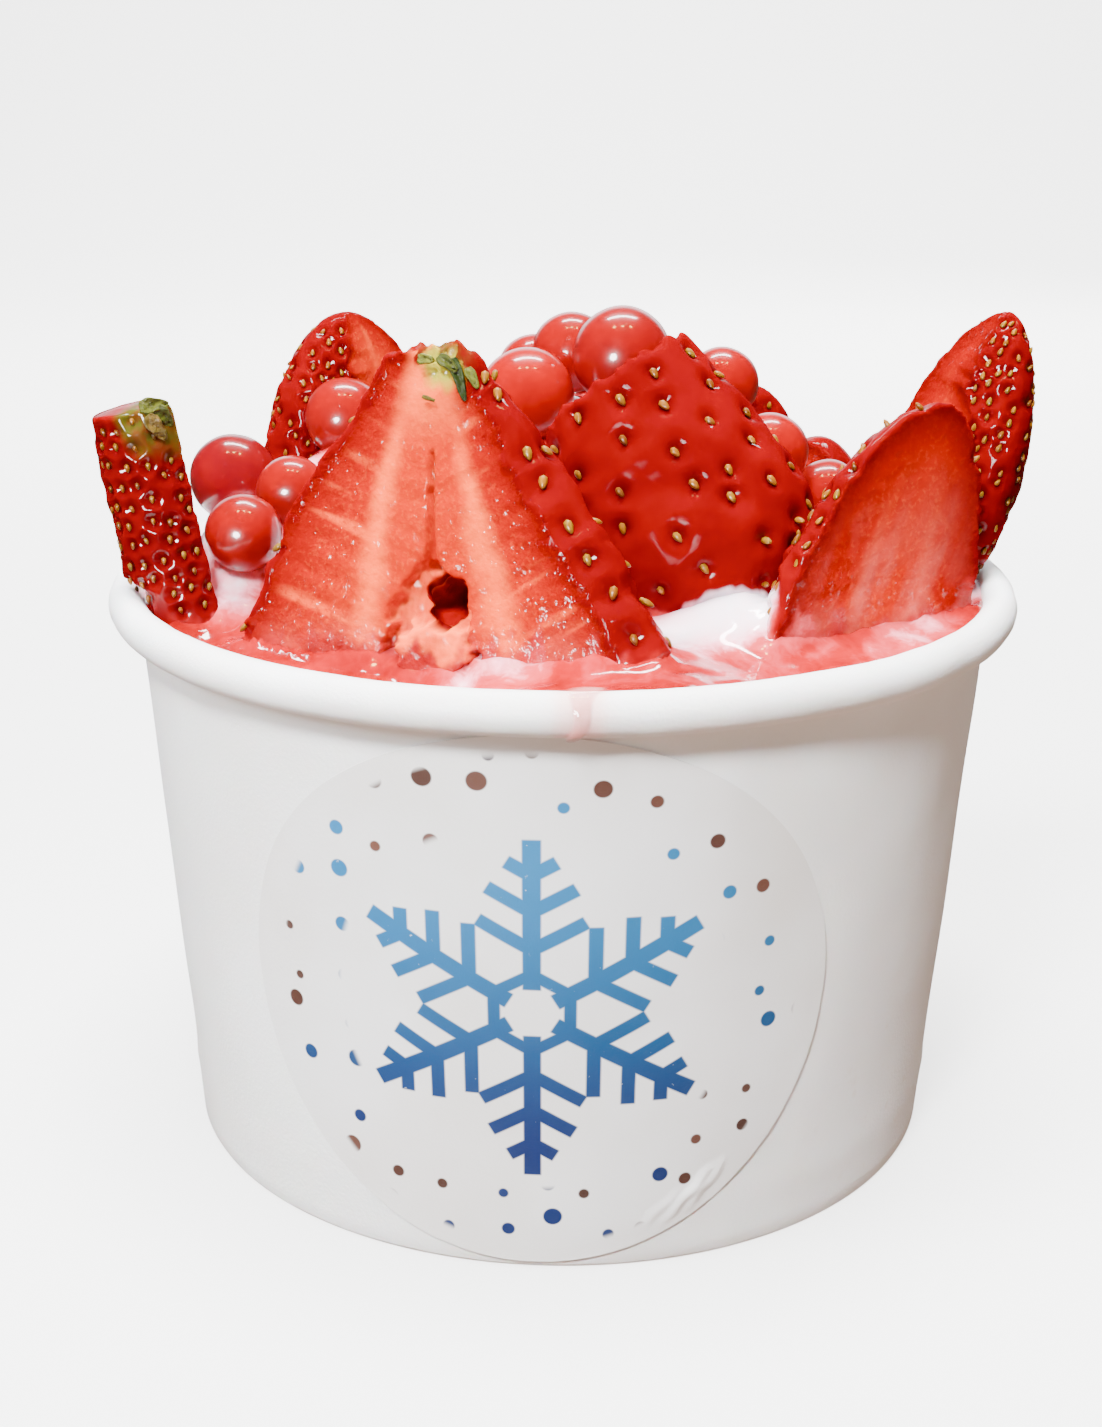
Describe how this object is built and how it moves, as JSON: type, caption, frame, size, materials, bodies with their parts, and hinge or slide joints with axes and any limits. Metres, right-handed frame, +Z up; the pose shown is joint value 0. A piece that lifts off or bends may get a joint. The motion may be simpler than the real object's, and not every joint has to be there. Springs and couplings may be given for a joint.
{
  "type": "ice cream cup",
  "caption": "Round white paper cup with a rolled rim, filled with melting ice cream and heaped with cut strawberries and glossy red juice pearls; stands on its flat foot ring.",
  "frame": {"origin": "on the cup's axis, level with its foot", "axes": "+Z up along the cup's axis, -Y towards the labelled front"},
  "size_m": [0.0963, 0.095, 0.0871],
  "materials": {
    "cup_paper": "coated white paper, satin",
    "label_print": "printed gloss sticker, blues on white",
    "ice_cream": "wet pale pink melting ice cream",
    "strawberry": "wet red strawberry skin and paler cut flesh",
    "juice_pearl": "glossy translucent red jelly skin"
  },
  "bodies": {
    "root": {"cup_wall": "cup_paper", "cup_base": "cup_paper", "label": "label_print", "strawberry_front": "strawberry", "strawberry_front_right": "strawberry", "strawberry_middle": "strawberry", "strawberry_left": "strawberry", "strawberry_back_left": "strawberry", "strawberry_right": "strawberry", "strawberry_back_right": "strawberry", "strawberry_behind": "strawberry", "pearl_01": "juice_pearl", "pearl_02": "juice_pearl", "pearl_03": "juice_pearl", "pearl_04": "juice_pearl", "pearl_05": "juice_pearl", "pearl_06": "juice_pearl", "pearl_07": "juice_pearl", "pearl_08": "juice_pearl", "pearl_09": "juice_pearl", "pearl_10": "juice_pearl", "pearl_11": "juice_pearl", "pearl_12": "juice_pearl", "pearl_13": "juice_pearl", "pearl_14": "juice_pearl", "pearl_15": "juice_pearl", "pearl_16": "juice_pearl", "pearl_17": "juice_pearl", "pearl_18": "juice_pearl", "pearl_19": "juice_pearl", "pearl_20": "juice_pearl", "pearl_21": "juice_pearl", "pearl_22": "juice_pearl", "ice_cream": "ice_cream"}
  },
  "joints": []
}
